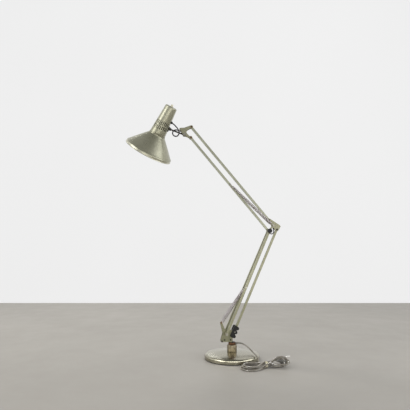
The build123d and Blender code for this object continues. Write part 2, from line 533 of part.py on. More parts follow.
# the tied hank: left lobe on the floor, waist in the tie, right lobe bunched up
def oval(x, y0, y1, z0, z1, bow=0.5):
    return Plane(origin=(x, (y0 + y1) / 2, (z0 + z1) / 2), x_dir=(0, 1, 0), z_dir=(1, 0, 0)) * RectangleRounded(y1 - y0, z1 - z0, min(y1 - y0, z1 - z0) * 0.42)
secs = [oval(0.5, -153, -133, 0.3, 8.0), oval(9, -165, -119, 0.3, 14.0), oval(30, -172, -106.0, 0.3, 19.0), oval(55, -163, -108.0, 0.3, 20.0),
        oval(80, -145, -119.5, 0.3, 19.0), oval(90.5, -141.5, -123.0, 1.0, 18.5)]
left = loft(secs[:4] + [secs[4], secs[5]], ruled=True)
secs2 = [oval(90.5, -141.5, -123.0, 1.0, 18.5), oval(103, -146, -119, 0.3, 24.0), oval(122, -158, -112, 0.3, 32.0), oval(142, -166, -107, 0.3, 37.0),
         oval(160, -160, -112, 0.3, 36.0), oval(172, -148, -124, 0.3, 28.0)]
right = loft(secs2, ruled=True)
hank = left + right
save("mains_cord_hank", hank)
tie = Plane(origin=(86.0, -132.3, 10.6), x_dir=(0, 1, 0), z_dir=(1, 0, 0)) * RectangleRounded(24.0, 20.6, 8.8)
tie = extrude(tie, 9.0)
tie = tie - hank
save("cord_tie", tie)

# plug lying behind the bunched end
PLUG_AT = Vector(*CORD_TAIL[-1])
PD = (Vector(*CORD_TAIL[-1]) - Vector(*CORD_TAIL[-2])).normalized()
pl = Plane(origin=PLUG_AT, z_dir=(PD.X, PD.Y, 0))
plug = pl * (Cone(5.0, 8.5, 12.0, align=(Align.CENTER, Align.CENTER, Align.MIN))
             + Pos(0, 0, 12.0) * Cone(8.5, 12.4, 8.0, align=(Align.CENTER, Align.CENTER, Align.MIN))
             + Pos(0, 0, 20.0) * Cylinder(12.4, 14.0, align=(Align.CENTER, Align.CENTER, Align.MIN)))
save("mains_plug", plug)
pins = [pl * (Pos(0, s * 9.5 * 0.97, 34.0) * Cylinder(2.0, 18.5, align=(Align.CENTER, Align.CENTER, Align.MIN))) for s in (-1, 1)]
save("plug_pins", pins)

print(len(made), "nodes:", ", ".join(f"{n}({k})" for n, k in made))
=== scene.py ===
import bpy, bmesh, json, math, random
from mathutils import Vector, Matrix

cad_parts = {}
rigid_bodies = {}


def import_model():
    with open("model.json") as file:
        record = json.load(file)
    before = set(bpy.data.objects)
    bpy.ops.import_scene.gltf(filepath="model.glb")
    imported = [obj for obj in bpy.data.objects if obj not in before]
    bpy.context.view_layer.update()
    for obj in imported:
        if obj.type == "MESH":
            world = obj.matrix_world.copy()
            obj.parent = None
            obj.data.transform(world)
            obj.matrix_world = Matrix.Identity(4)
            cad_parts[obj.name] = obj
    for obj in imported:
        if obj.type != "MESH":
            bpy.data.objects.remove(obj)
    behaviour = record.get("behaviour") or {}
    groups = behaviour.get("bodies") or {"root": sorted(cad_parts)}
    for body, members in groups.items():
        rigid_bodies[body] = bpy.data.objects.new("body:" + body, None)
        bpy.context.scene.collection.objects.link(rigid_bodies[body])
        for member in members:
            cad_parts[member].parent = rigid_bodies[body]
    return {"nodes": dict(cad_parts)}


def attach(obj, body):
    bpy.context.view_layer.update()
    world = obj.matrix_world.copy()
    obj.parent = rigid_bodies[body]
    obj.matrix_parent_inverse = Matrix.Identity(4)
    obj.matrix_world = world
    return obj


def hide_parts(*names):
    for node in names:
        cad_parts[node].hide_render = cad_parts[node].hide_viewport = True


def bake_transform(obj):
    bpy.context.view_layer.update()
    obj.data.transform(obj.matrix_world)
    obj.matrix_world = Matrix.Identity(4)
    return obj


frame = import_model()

random.seed(7)
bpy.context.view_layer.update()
MM = 0.001


def V(x, y, z):
    """millimetres of the CAD frame, as metres"""
    return Vector((x * MM, y * MM, z * MM))


# ===========================================================================
# Camera: the photograph's viewing angle
# ===========================================================================
scene = bpy.context.scene
cam_data = bpy.data.cameras.new("camera")
cam_data.sensor_width = 36.0
cam_data.lens = 430.0 / 410.0 * 36.0
cam = bpy.data.objects.new("camera", cam_data)
scene.collection.objects.link(cam)
AZ, EL = math.radians(-7.0), math.radians(6.0)
c_right = Vector((math.cos(AZ), math.sin(AZ), 0.0))
c_flat = Vector((-math.sin(AZ), math.cos(AZ), 0.0))
c_fwd = (c_flat * math.cos(EL) + Vector((0, 0, 1)) * math.sin(EL)).normalized()
c_up = c_right.cross(c_fwd).normalized()
rot = Matrix((c_right, c_up, -c_fwd)).transposed().to_4x4()
cam.matrix_world = Matrix.Translation(Vector((-0.29072, -1.5713, 0.38721))) @ rot
scene.camera = cam

# ===========================================================================
# The mains cord: one route, out of the collar, down to the floor, a tied hank,
# and the plug beside its bunched end
# ===========================================================================
CORD_PTS = [
    (13.2, 1.5, 53.6), (28.0, 2.5, 54.4), (43.5, -1.5, 49.8), (57.0, -10.5, 41.0), (66.0, -26.0, 31.5), (71.0, -44.5, 26.0),
    (74.0, -63.5, 24.0), (76.5, -82.0, 14.0), (75.8, -101.3, 5.2), (65.5, -113.0, 3.0), (46.1, -110.9, 2.5), (32.1, -110.5, 2.5),
    (17.6, -111.1, 2.5), (4.2, -129.1, 2.6), (4.3, -154.6, 2.6), (17.8, -172.6, 2.6), (32.4, -173.3, 2.6), (46.6, -172.1, 2.5),
    (60.7, -165.2, 2.5), (74.6, -149.3, 2.5), (90.5, -136.1, 2.5), (106.0, -133.9, 13.1), (118.1, -131.7, 24.7), (131.1, -130.5, 30.3),
    (142.6, -130.3, 30.5), (151.1, -134.1, 23.2), (151.1, -139.5, 12.7), (142.6, -143.3, 5.3), (129.0, -143.1, 5.3), (118.0, -140.1, 4.9),
    (106.0, -134.1, 4.3), (90.5, -128.6, 3.7), (74.1, -126.8, 3.3), (60.1, -124.5, 2.6), (46.2, -123.5, 2.5), (26.6, -124.1, 2.6),
    (17.5, -133.9, 2.6), (17.6, -147.6, 2.6), (27.0, -157.5, 2.5), (47.0, -157.3, 2.5), (61.1, -155.3, 3.7), (74.6, -147.9, 7.9),
    (90.5, -141.5, 11.7), (106.0, -141.7, 21.1), (118.0, -142.0, 31.5), (131.0, -141.8, 36.3), (150.9, -141.3, 36.0), (160.5, -139.0, 26.2),
    (160.5, -136.2, 12.6), (150.9, -134.0, 2.9), (129.0, -133.5, 2.5), (118.0, -131.6, 3.5), (106.0, -128.3, 5.8), (90.5, -125.2, 7.9),
    (73.9, -120.8, 7.7), (59.7, -115.3, 7.2), (45.6, -112.6, 7.2), (22.4, -112.6, 7.3), (8.8, -127.0, 7.3), (8.6, -147.3, 7.4),
    (21.9, -161.6, 7.5), (44.7, -160.4, 7.8), (58.5, -154.4, 8.5), (73.0, -141.7, 8.5), (90.5, -132.0, 7.7), (106.0, -128.3, 13.8),
    (118.0, -124.1, 20.5), (131.0, -122.2, 23.9), (143.1, -121.8, 24.3), (159.4, -122.2, 24.3), (168.5, -130.6, 21.0), (168.5, -142.5, 16.3),
    (159.4, -150.8, 13.0), (143.1, -151.2, 12.8), (129.0, -150.6, 13.0), (118.0, -147.3, 13.2), (106.0, -140.3, 13.5), (90.5, -134.0, 13.7),
    (74.0, -128.6, 13.6), (60.0, -122.1, 13.3), (46.0, -118.7, 13.5), (26.4, -118.9, 13.6), (12.9, -132.5, 13.1), (12.9, -151.9, 12.7),
    (26.4, -165.5, 12.2), (45.9, -164.5, 12.1), (60.0, -157.5, 13.8), (74.0, -141.9, 17.0), (90.5, -129.2, 19.6), (99.5, -121.5, 15.2),
    (109.0, -110.0, 14.2), (122.5, -100.0, 13.2), (136.5, -96.0, 12.8),
]


def nurbs(name, pts, width=None, res=8):
    cu = bpy.data.curves.new(name, "CURVE")
    cu.dimensions = "3D"
    cu.resolution_u = res
    sp = cu.splines.new("NURBS")
    sp.points.add(len(pts) - 1)
    for p, q in zip(sp.points, pts):
        p.co = (q[0] * MM, q[1] * MM, q[2] * MM, 1.0)
    sp.order_u = 3
    sp.use_endpoint_u = True
    if width:
        cu.bevel_depth = width / 2
        cu.bevel_resolution = 5
        cu.use_fill_caps = True
    ob = bpy.data.objects.new(name, cu)
    scene.collection.objects.link(ob)
    return ob


def line_of(pts, res=16):
    """the points along a route's NURBS line, in metres"""
    ob = nurbs("route_tmp", pts, None, res)
    bpy.context.view_layer.update()
    dg = bpy.context.evaluated_depsgraph_get()
    me = bpy.data.meshes.new_from_object(ob.evaluated_get(dg))
    out = [v.co.copy() for v in me.vertices]
    cu = ob.data
    bpy.data.objects.remove(ob)
    bpy.data.curves.remove(cu)
    bpy.data.meshes.remove(me)
    return out


# ---------------------------------------------------------------------------
# mesh helpers
# ---------------------------------------------------------------------------
def new_mesh(name, verts, faces, mat_index=None, smooth=True, sharp=None):
    me = bpy.data.meshes.new(name)
    me.from_pydata([tuple(v) for v in verts], [], faces)
    me.validate()
    bm = bmesh.new()
    bm.from_mesh(me)
    bmesh.ops.remove_doubles(bm, verts=bm.verts, dist=1e-7)
    bmesh.ops.recalc_face_normals(bm, faces=bm.faces)
    bm.to_mesh(me)
    bm.free()
    if smooth:
        for p in me.polygons:
            p.use_smooth = True
    if sharp is not None:
        me.set_sharp_from_angle(angle=math.radians(sharp))
    ob = bpy.data.objects.new(name, me)
    scene.collection.objects.link(ob)
    return ob


def frames_along(line):
    """a steady normal and binormal at each point of a line"""
    n = len(line)
    tan = []
    for i in range(n):
        a = line[max(i - 1, 0)]
        b = line[min(i + 1, n - 1)]
        tan.append((b - a).normalized())
    up = Vector((0, 0, 1)) if abs(tan[0].z) < 0.9 else Vector((1, 0, 0))
    nrm = (up - tan[0] * up.dot(tan[0])).normalized()
    out = []
    for i in range(n):
        nrm = (nrm - tan[i] * nrm.dot(tan[i])).normalized()
        out.append((tan[i], nrm, tan[i].cross(nrm)))
    return out


def sweep(line, radii, sides, caps=True):
    """verts and faces of a tube; radii is one number or one for each point"""
    fr = frames_along(line)
    if not hasattr(radii, "__len__"):
        radii = [radii] * len(line)
    verts, faces = [], []
    for p, (t, a, b), r in zip(line, fr, radii):
        for k in range(sides):
            w = 2 * math.pi * k / sides
            verts.append(p + a * (r * math.cos(w)) + b * (r * math.sin(w)))
    for i in range(len(line) - 1):
        for k in range(sides):
            k2 = (k + 1) % sides
            faces.append((i * sides + k, i * sides + k2, (i + 1) * sides + k2, (i + 1) * sides + k))
    if caps:
        faces.append(tuple(range(sides)))
        e = (len(line) - 1) * sides
        faces.append(tuple(e + k for k in reversed(range(sides))))
    return verts, faces


def spin(profile, origin, zdir, xdir, seg, closed=True, name="spin", sharp=30):
    """a turned form: profile is (radius, height) in millimetres, round zdir through origin"""
    z = Vector(zdir).normalized()
    x = (Vector(xdir) - z * Vector(xdir).dot(z)).normalized()
    y = z.cross(x)
    verts, faces = [], []
    n = len(profile)
    for k in range(seg):
        w = 2 * math.pi * k / seg
        d = x * math.cos(w) + y * math.sin(w)
        for r, h in profile:
            verts.append(origin + d * (r * MM) + z * (h * MM))
    m = n if closed else n - 1
    for k in range(seg):
        k2 = (k + 1) % seg
        for i in range(m):
            j = (i + 1) % n
            faces.append((k * n + i, k2 * n + i, k2 * n + j, k * n + j))
    return new_mesh(name, verts, faces, sharp=sharp)


def join_mesh(name, parts, sharp=None):
    """one object from several (verts, faces) lists"""
    verts, faces = [], []
    for vs, fs in parts:
        o = len(verts)
        verts += list(vs)
        faces += [tuple(o + i for i in f) for f in fs]
    return new_mesh(name, verts, faces, sharp=sharp)


# ===========================================================================
# Materials: procedural, in object space, at the scale of the real finish
# ===========================================================================
def srgb(r, g, b):
    def f(c):
        c = c / 255.0
        return c / 12.92 if c <= 0.04045 else ((c + 0.055) / 1.055) ** 2.4
    return (f(r), f(g), f(b), 1.0)


class Mat:
    def __init__(self, name):
        self.m = bpy.data.materials.new(name)
        self.m.use_nodes = True
        self.t = self.m.node_tree
        self.b = next(n for n in self.t.nodes if n.type == "BSDF_PRINCIPLED")
        self.tc = self.t.nodes.new("ShaderNodeTexCoord")
        self.pos = self.tc.outputs["Object"]

    def set(self, **k):
        names = {"metallic": "Metallic", "roughness": "Roughness", "coat": "Coat Weight", "coat_rough": "Coat Roughness",
                 "spec": "Specular IOR Level", "aniso": "Anisotropic", "trans": "Transmission Weight", "ior": "IOR",
                 "sheen": "Sheen Weight", "sss": "Subsurface Weight", "emit": "Emission Strength"}
        for a, v in k.items():
            self.b.inputs[names[a]].default_value = v
        return self

    def link(self, a, b):
        self.t.links.new(a, b)

    def noise(self, scale, detail=4.0, rough=0.55, vec=None, dim="3D", distort=0.0):
        n = self.t.nodes.new("ShaderNodeTexNoise")
        n.noise_dimensions = dim
        n.inputs["Scale"].default_value = scale
        n.inputs["Detail"].default_value = detail
        n.inputs["Roughness"].default_value = rough
        n.inputs["Distortion"].default_value = distort
        if dim == "1D":
            self.link(vec, n.inputs["W"])
        else:
            self.link(vec or self.pos, n.inputs["Vector"])
        return n.outputs["Fac"]

    def voronoi(self, scale, feature="F1", vec=None, out="Distance"):
        n = self.t.nodes.new("ShaderNodeTexVoronoi")
        n.feature = feature
        n.inputs["Scale"].default_value = scale
        self.link(vec or self.pos, n.inputs["Vector"])
        return n.outputs[out]

    def mapr(self, v, a, b, c, d, clamp=True):
        n = self.t.nodes.new("ShaderNodeMapRange")
        n.clamp = clamp
        self.link(v, n.inputs["Value"])
        for k, x in (("From Min", a), ("From Max", b), ("To Min", c), ("To Max", d)):
            n.inputs[k].default_value = x
        return n.outputs["Result"]

    def math(self, op, a, b=None, c=None):
        n = self.t.nodes.new("ShaderNodeMath")
        n.operation = op
        for i, x in enumerate((a, b, c)):
            if x is None:
                continue
            if isinstance(x, (int, float)):
                n.inputs[i].default_value = x
            else:
                self.link(x, n.inputs[i])
        return n.outputs["Value"]

    def mix(self, f, a, b, blend="MIX"):
        n = self.t.nodes.new("ShaderNodeMix")
        n.data_type = "RGBA"
        n.blend_type = blend
        n.clamp_factor = True
        if isinstance(f, (int, float)):
            n.inputs[0].default_value = f
        else:
            self.link(f, n.inputs[0])
        for i, x in ((6, a), (7, b)):
            if isinstance(x, tuple):
                n.inputs[i].default_value = x
            else:
                self.link(x, n.inputs[i])
        return n.outputs[2]

    def xyz(self, vec=None):
        n = self.t.nodes.new("ShaderNodeSeparateXYZ")
        self.link(vec or self.pos, n.inputs[0])
        return n.outputs

    def comb(self, x, y, z):
        n = self.t.nodes.new("ShaderNodeCombineXYZ")
        for i, s in enumerate((x, y, z)):
            if isinstance(s, (int, float)):
                n.inputs[i].default_value = s
            else:
                self.link(s, n.inputs[i])
        return n.outputs[0]

    def mapping(self, origin, xdir, zdir):
        """coordinates in a local frame: subtract the origin and take dot products"""
        z = Vector(zdir).normalized()
        x = (Vector(xdir) - z * Vector(xdir).dot(z)).normalized()
        y = z.cross(x)
        s = self.t.nodes.new("ShaderNodeVectorMath")
        s.operation = "SUBTRACT"
        self.link(self.pos, s.inputs[0])
        s.inputs[1].default_value = origin
        outs = []
        for d in (x, y, z):
            n = self.t.nodes.new("ShaderNodeVectorMath")
            n.operation = "DOT_PRODUCT"
            self.link(s.outputs[0], n.inputs[0])
            n.inputs[1].default_value = d
            outs.append(n.outputs["Value"])
        return outs

    def bump(self, h, strength, dist, chain=None):
        n = self.t.nodes.new("ShaderNodeBump")
        n.inputs["Strength"].default_value = strength
        n.inputs["Distance"].default_value = dist
        self.link(h, n.inputs["Height"])
        if chain:
            self.link(chain, n.inputs["Normal"])
        return n.outputs["Normal"]

    def color(self, s):
        self.link(s, self.b.inputs["Base Color"])
        return self

    def rough(self, s):
        self.link(s, self.b.inputs["Roughness"])
        return self

    def normal(self, s):
        self.link(s, self.b.inputs["Normal"])
        return self


def paint(name, lo, hi, rough=(0.3, 0.42), metallic=0.45, fleck=0.35, coat=0.25, chips=0.0, dust=0.0, scale=1.0, peel=0.12):
    """metallic enamel: fine flake, orange peel, slow colour drift, rubbed spots"""
    m = Mat(name)
    m.set(metallic=metallic, coat=coat, coat_rough=0.18, spec=0.5)
    drift = m.mapr(m.noise(9 * scale, 3), 0.32, 0.68, 0, 1)
    col = m.mix(drift, lo, hi)
    flake = m.voronoi(2600, out="Color")
    fl = m.mapr(m.xyz(flake)[0], 0.0, 1.0, 1.0 - fleck, 1.0 + fleck * 0.6, False)
    g = m.comb(fl, fl, fl)
    col = m.mix(1.0, col, g, "MULTIPLY")
    stain = m.mapr(m.noise(38, 6, 0.7), 0.55, 0.8, 0, 0.45)
    col = m.mix(stain, col, tuple(0.55 * c for c in lo[:3]) + (1.0,))
    if dust:
        d = m.mapr(m.noise(110, 8, 0.75), 0.5, 0.75, 0, dust)
        col = m.mix(d, col, srgb(172, 168, 148))
    if chips:
        c = m.mapr(m.noise(240, 5, 0.6), 0.66, 0.7, 0, chips)
        col = m.mix(c, col, srgb(92, 88, 78))
    m.color(col)
    r = m.mapr(m.noise(60, 6, 0.7), 0.3, 0.7, rough[0], rough[1])
    m.rough(r)
    n1 = m.bump(m.noise(900, 2), peel, 0.00006)
    n2 = m.bump(m.noise(30, 3), 0.06, 0.0008, n1)
    m.normal(n2)
    return m.m


def metal(name, lo, hi, rough=(0.2, 0.34), streak=None, spots=0.2, spot_col=None, bump=0.08, aniso=0.0, scale=1.0):
    m = Mat(name)
    m.set(metallic=1.0, aniso=aniso)
    drift = m.mapr(m.noise(45 * scale, 5), 0.32, 0.68, 0, 1)
    col = m.mix(drift, lo, hi)
    s = m.mapr(m.noise(420 * scale, 6, 0.7), 0.56, 0.7, 0, spots)
    col = m.mix(s, col, spot_col or tuple(0.35 * c for c in lo[:3]) + (1.0,))
    m.color(col)
    m.rough(m.mapr(m.noise(260 * scale, 5, 0.7), 0.3, 0.7, rough[0], rough[1]))
    n = m.bump(m.noise(1300 * scale, 3), bump, 0.00004)
    if streak:
        x, y, z = m.mapping(*streak)
        line = m.noise(1.0, 2, 0.5, vec=m.comb(m.math("MULTIPLY", x, 40), m.math("MULTIPLY", y, 40), m.math("MULTIPLY", z, 3000)))
        n = m.bump(line, 0.12, 0.00005, n)
    m.normal(n)
    return m.m


def plastic(name, lo, hi, rough=(0.35, 0.5), grain=900, gbump=0.12, spec=0.5, scuff=0.25, scuff_col=None, sss=0.0, coat=0.0):
    m = Mat(name)
    m.set(metallic=0.0, spec=spec, coat=coat, coat_rough=0.25)
    drift = m.mapr(m.noise(55, 4), 0.3, 0.7, 0, 1)
    col = m.mix(drift, lo, hi)
    s = m.mapr(m.noise(170, 7, 0.75), 0.57, 0.74, 0, scuff)
    col = m.mix(s, col, scuff_col or srgb(120, 118, 112))
    m.color(col)
    m.rough(m.mapr(m.noise(220, 6, 0.7), 0.3, 0.7, rough[0], rough[1]))
    n = m.bump(m.noise(grain, 3), gbump, 0.00008)
    m.normal(n)
    return m.m

# --------------------------------------------------------------------------
# colours
# --------------------------------------------------------------------------
OLIVE_LO, OLIVE_HI = srgb(168, 168, 146), srgb(184, 184, 162)
HEAD_LO, HEAD_HI = srgb(154, 152, 129), srgb(172, 170, 149)

M = {}
M["olive_paint"] = paint("olive_paint", OLIVE_LO, OLIVE_HI, (0.30, 0.44), 0.5, 0.3, 0.2, chips=0.35, dust=0.12)
# painted shade: the next three are copies of the arm paint above, set darker for the lower bars and link, the turret
# plates, and the elbow and head plates
M["olive_low_shaded"] = paint("olive_low_shaded", srgb(144, 142, 114), srgb(162, 160, 133), (0.32, 0.46), 0.48, 0.3, 0.18, chips=0.4, dust=0.14)
M["olive_plate_shaded"] = paint("olive_plate_shaded", srgb(132, 131, 104), srgb(152, 150, 122), (0.32, 0.46), 0.55, 0.3, 0.2, chips=0.4, dust=0.15)
M["olive_plate_upper_shaded"] = paint("olive_plate_upper_shaded", srgb(152, 149, 122), srgb(170, 167, 140), (0.32, 0.46), 0.5, 0.3, 0.2, chips=0.4, dust=0.15)
M["rubber_pad"] = plastic("rubber_pad", srgb(22, 19, 16), srgb(32, 28, 24), (0.6, 0.85), 700, 0.35, 0.3, 0.2, srgb(60, 54, 46))
M["cast_iron"] = metal("cast_iron", srgb(66, 64, 60), srgb(90, 87, 80), (0.45, 0.65), spots=0.5, bump=0.35)
M["zinc_steel"] = metal("zinc_steel", srgb(150, 147, 136), srgb(186, 182, 170), (0.24, 0.4), spots=0.35, bump=0.14)
M["dark_steel"] = metal("dark_steel", srgb(52, 50, 46), srgb(80, 77, 70), (0.3, 0.5), spots=0.35, bump=0.2)
M["copper_brass"] = metal("copper_brass", srgb(112, 82, 62), srgb(146, 108, 82), (0.28, 0.45), spots=0.4, spot_col=srgb(70, 46, 34), bump=0.16)
M["copper_dull"] = metal("copper_dull", srgb(98, 72, 56), srgb(128, 96, 74), (0.34, 0.5), spots=0.4, spot_col=srgb(60, 44, 34), bump=0.16)
M["brass"] = metal("brass", srgb(168, 140, 84), srgb(196, 168, 104), (0.22, 0.4), spots=0.3, bump=0.1)
M["spring_steel"] = metal("spring_steel", srgb(190, 184, 183), srgb(216, 210, 209), (0.26, 0.42), spots=0.35, spot_col=srgb(84, 70, 66), bump=0.08)
M["black_plastic"] = plastic("black_plastic", srgb(15, 14, 14), srgb(25, 24, 23), (0.34, 0.52), 800, 0.2, 0.35, 0.22, srgb(96, 92, 84))
M["relief_rubber"] = plastic("relief_rubber", srgb(120, 118, 110), srgb(146, 143, 134), (0.42, 0.6), 900, 0.2, 0.4, 0.2, srgb(90, 86, 80))
M["ceramic_white"] = plastic("ceramic_white", srgb(214, 208, 192), srgb(232, 228, 214), (0.16, 0.3), 400, 0.05, 0.5, 0.15, srgb(170, 158, 132), coat=0.4)
M["bakelite"] = plastic("bakelite", srgb(40, 29, 24), srgb(58, 42, 34), (0.28, 0.44), 500, 0.1, 0.5, 0.2, srgb(96, 84, 70), coat=0.2)
M["cream_plastic"] = plastic("cream_plastic", srgb(224, 216, 186), srgb(240, 234, 210), (0.28, 0.44), 500, 0.08, 0.5, 0.25, srgb(170, 158, 128))
M["cable_black"] = plastic("cable_black", srgb(30, 23, 25), srgb(44, 35, 38), (0.36, 0.52), 1100, 0.12, 0.35, 0.12)
M["plug_grey"] = plastic("plug_grey", srgb(118, 116, 112), srgb(140, 138, 133), (0.3, 0.45), 700, 0.16, 0.5, 0.3, srgb(86, 82, 78))
M["plug_pin_metal"] = metal("plug_pin_metal", srgb(190, 188, 182), srgb(212, 210, 204), (0.14, 0.28), spots=0.2)

# spun, champagne-coloured nickel: fine rings of the lathe, fingerprints, a few dull patches
b = Mat("satin_nickel")
b.set(metallic=1.0, aniso=0.35)
px, py, pz = b.xyz()
rad = b.math("SQRT", b.math("ADD", b.math("MULTIPLY", px, px), b.math("MULTIPLY", py, py)))
rings = b.noise(1.0, 3, 0.6, vec=b.comb(b.math("MULTIPLY", rad, 2600), b.math("MULTIPLY", pz, 2600), 0.0))
blot = b.mapr(b.noise(18, 4, 0.6), 0.35, 0.7, 0, 1)
bc = b.mix(blot, srgb(160, 156, 138), srgb(174, 170, 153))
bc = b.mix(b.mapr(b.noise(320, 7, 0.75), 0.62, 0.78, 0, 0.16), bc, srgb(112, 106, 88))
bc = b.mix(b.mapr(rings, 0.3, 0.7, 0.0, 0.12), bc, srgb(140, 134, 114))
b.color(bc)
b.rough(b.math("ADD", b.mapr(b.noise(70, 5, 0.6), 0.3, 0.72, 0.18, 0.25), b.mapr(rings, 0.3, 0.7, 0.0, 0.05)))
b.normal(b.bump(rings, 0.07, 0.00004, b.bump(b.noise(14, 2), 0.012, 0.001)))
M["satin_nickel"] = b.m
M["collar_nickel"] = metal("collar_nickel", srgb(126, 116, 96), srgb(150, 140, 118), (0.28, 0.4), ((0.0, 0.0, 0.0), (1, 0, 0), (0, 0, 1)), spots=0.3, bump=0.12)

# grey flex: glossy PVC with a faint moulded grain and scuffs
c = Mat("cord_grey")
c.set(spec=0.6, coat=0.9, coat_rough=0.08)
cc = c.mix(c.mapr(c.noise(36, 4), 0.3, 0.7, 0, 1), srgb(108, 101, 88), srgb(136, 129, 115))
cc = c.mix(c.mapr(c.noise(210, 7, 0.75), 0.55, 0.75, 0, 0.4), cc, srgb(58, 53, 47))
c.color(cc)
c.rough(c.mapr(c.noise(160, 5, 0.7), 0.3, 0.7, 0.18, 0.32))
c.normal(c.bump(c.noise(600, 3), 0.12, 0.0001))
M["cord_grey"] = c.m

# milk glass
g = Mat("bulb_milk")
g.set(spec=0.5, coat=0.5, coat_rough=0.06, sss=0.25)
g.b.inputs["Subsurface Radius"].default_value = (0.01, 0.009, 0.008)
g.color(g.mix(g.mapr(g.noise(18, 3), 0.3, 0.7, 0, 1), srgb(236, 232, 220), srgb(246, 244, 236)))
g.rough(g.mapr(g.noise(120, 5, 0.7), 0.3, 0.7, 0.12, 0.22))
g.normal(g.bump(g.noise(40, 2), 0.03, 0.0004))
M["bulb_milk"] = g.m

# ===========================================================================
# Head frame
# ===========================================================================
N = Vector((-260.8, 0.0, 847.4))
K = Vector((-176.0, 0.0, 816.5))
U = (K - N).normalized()
ZL = -Vector((-0.439, 0.375, -0.8165)).normalized()
XL = (U - ZL * U.dot(ZL)).normalized()
YL = ZL.cross(XL)
NM = N * MM

# head enamel: as the arms, with the lathe's faint rings round the shade and a rim lightened partly by wear and partly
# as a painted highlight
for key, lo, hi in (("head_paint", HEAD_LO, HEAD_HI),):
    # the neck is 30.6 mm in radius at its foot and 22.3 at its top
    h = Mat(key)
    h.set(metallic=0.64, coat=0.1, coat_rough=0.2, spec=0.5)
    hx, hy, hz = h.mapping(NM, XL, ZL)
    drift = h.mapr(h.noise(11, 4), 0.32, 0.68, 0, 1)
    col = h.mix(drift, lo, hi)
    fl = h.mapr(h.xyz(h.voronoi(2400, out="Color"))[0], 0, 1, 0.7, 1.2, False)
    col = h.mix(1.0, col, h.comb(fl, fl, fl), "MULTIPLY")
    col = h.mix(h.mapr(h.noise(90, 6, 0.7), 0.58, 0.8, 0, 0.25), col, srgb(104, 98, 76))
    # painted highlight and wear: the lip of the shade is lightened towards a pale colour, standing partly for rubbed
    # paint and partly for the light falling on the lip
    rim_wear_and_highlight = h.mapr(h.math("ADD", h.math("MULTIPLY", hz, -1.0), h.mapr(h.noise(60, 5), 0, 1, -0.003, 0.003)), 0.0995, 0.1045, 0, 0.8)
    col = h.mix(rim_wear_and_highlight, col, srgb(198, 195, 175))
    # painted shade: the inner wall of the neck is darkened, anything well inside the outer cone
    hr = h.math("SQRT", h.math("ADD", h.math("MULTIPLY", hx, hx), h.math("MULTIPLY", hy, hy)))
    cone = h.mapr(hz, -0.033, 0.080, 0.0306, 0.0223)
    depth = h.math("SUBTRACT", cone, hr)
    above = h.mapr(hz, -0.0335, -0.0325, 0, 1)
    below = h.mapr(hz, 0.0745, 0.0755, 1, 0)
    neck_inside_painted_shade = h.math("MULTIPLY", h.math("MULTIPLY", h.mapr(depth, 0.0004, 0.0009, 0, 0.92), above), below)
    col = h.mix(neck_inside_painted_shade, col, srgb(34, 31, 26))
    h.color(col)
    lathe = h.noise(1.0, 2, 0.5, vec=h.comb(0.0, 0.0, h.math("MULTIPLY", hz, 1400)))
    h.rough(h.math("ADD", h.mapr(h.noise(50, 6, 0.7), 0.3, 0.7, 0.25, 0.36), h.mapr(lathe, 0.3, 0.7, 0, 0.03)))
    h.normal(h.bump(lathe, 0.07, 0.00006, h.bump(h.noise(850, 2), 0.10, 0.00006)))
    M[key] = h.m

# inside of the shade: satin white-cream enamel, warmed and dusty near the bulb
i_ = Mat("shade_inside")
i_.set(metallic=0.0, spec=0.5)
ix, iy, iz = i_.mapping(NM, XL, ZL)
ic = i_.mix(i_.mapr(i_.noise(20, 5), 0.3, 0.7, 0, 1), srgb(206, 200, 184), srgb(226, 222, 208))
ic = i_.mix(i_.mapr(i_.math("ADD", iz, i_.mapr(i_.noise(50, 5), 0, 1, -0.01, 0.01)), -0.062, -0.036, 0, 0.45), ic, srgb(150, 132, 100))
ic = i_.mix(i_.mapr(i_.noise(300, 7, 0.75), 0.6, 0.75, 0, 0.4), ic, srgb(120, 110, 90))
i_.color(ic)
i_.rough(i_.mapr(i_.noise(90, 5), 0.3, 0.7, 0.34, 0.5))
i_.normal(i_.bump(i_.noise(500, 3), 0.1, 0.0001))
M["shade_inside"] = i_.m

# ===========================================================================
# Cords and cables
# ===========================================================================
cord = nurbs("mains_cord", CORD_PTS, 0.005)
cord.data.materials.append(M["cord_grey"])
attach(cord, "base")
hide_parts("mains_cord_run", "mains_cord_hank", "mains_cord_tail")
CORD_LINE = line_of(CORD_PTS, 8)

# strain relief: a ribbed, tapering sleeve that follows the cord out of the collar
def arc_points(line, a, b, n):
    """n points between two distances along a line"""
    out, want, s = [], [a + (b - a) * k / (n - 1) for k in range(n)], 0.0
    k = 0
    for p, q in zip(line, line[1:]):
        d = (q - p).length
        while k < n and want[k] <= s + d + 1e-12:
            out.append(p.lerp(q, 0 if d == 0 else (want[k] - s) / d))
            k += 1
        s += d
    while len(out) < n:
        out.append(line[-1].copy())
    return out


relief_line = arc_points(CORD_LINE, 0.0, 0.0235, 95)
rr = []
for k in range(95):
    t = k / 94
    base_r = 3.75 - 0.95 * t ** 0.8
    rib = 0.34 * (0.5 + 0.5 * math.cos(t * 2 * math.pi * 7.0)) if 0.1 < t < 0.95 else 0.0
    if t < 0.1:
        base_r = 3.95
    rr.append((base_r - 0.3 + rib if t >= 0.1 else base_r) * MM)
vs, fs = sweep(relief_line, rr, 24)
relief = new_mesh("strain_relief", vs, fs, sharp=50)
relief.data.materials.append(M["relief_rubber"])
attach(relief, "base")
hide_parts("cord_grommet")

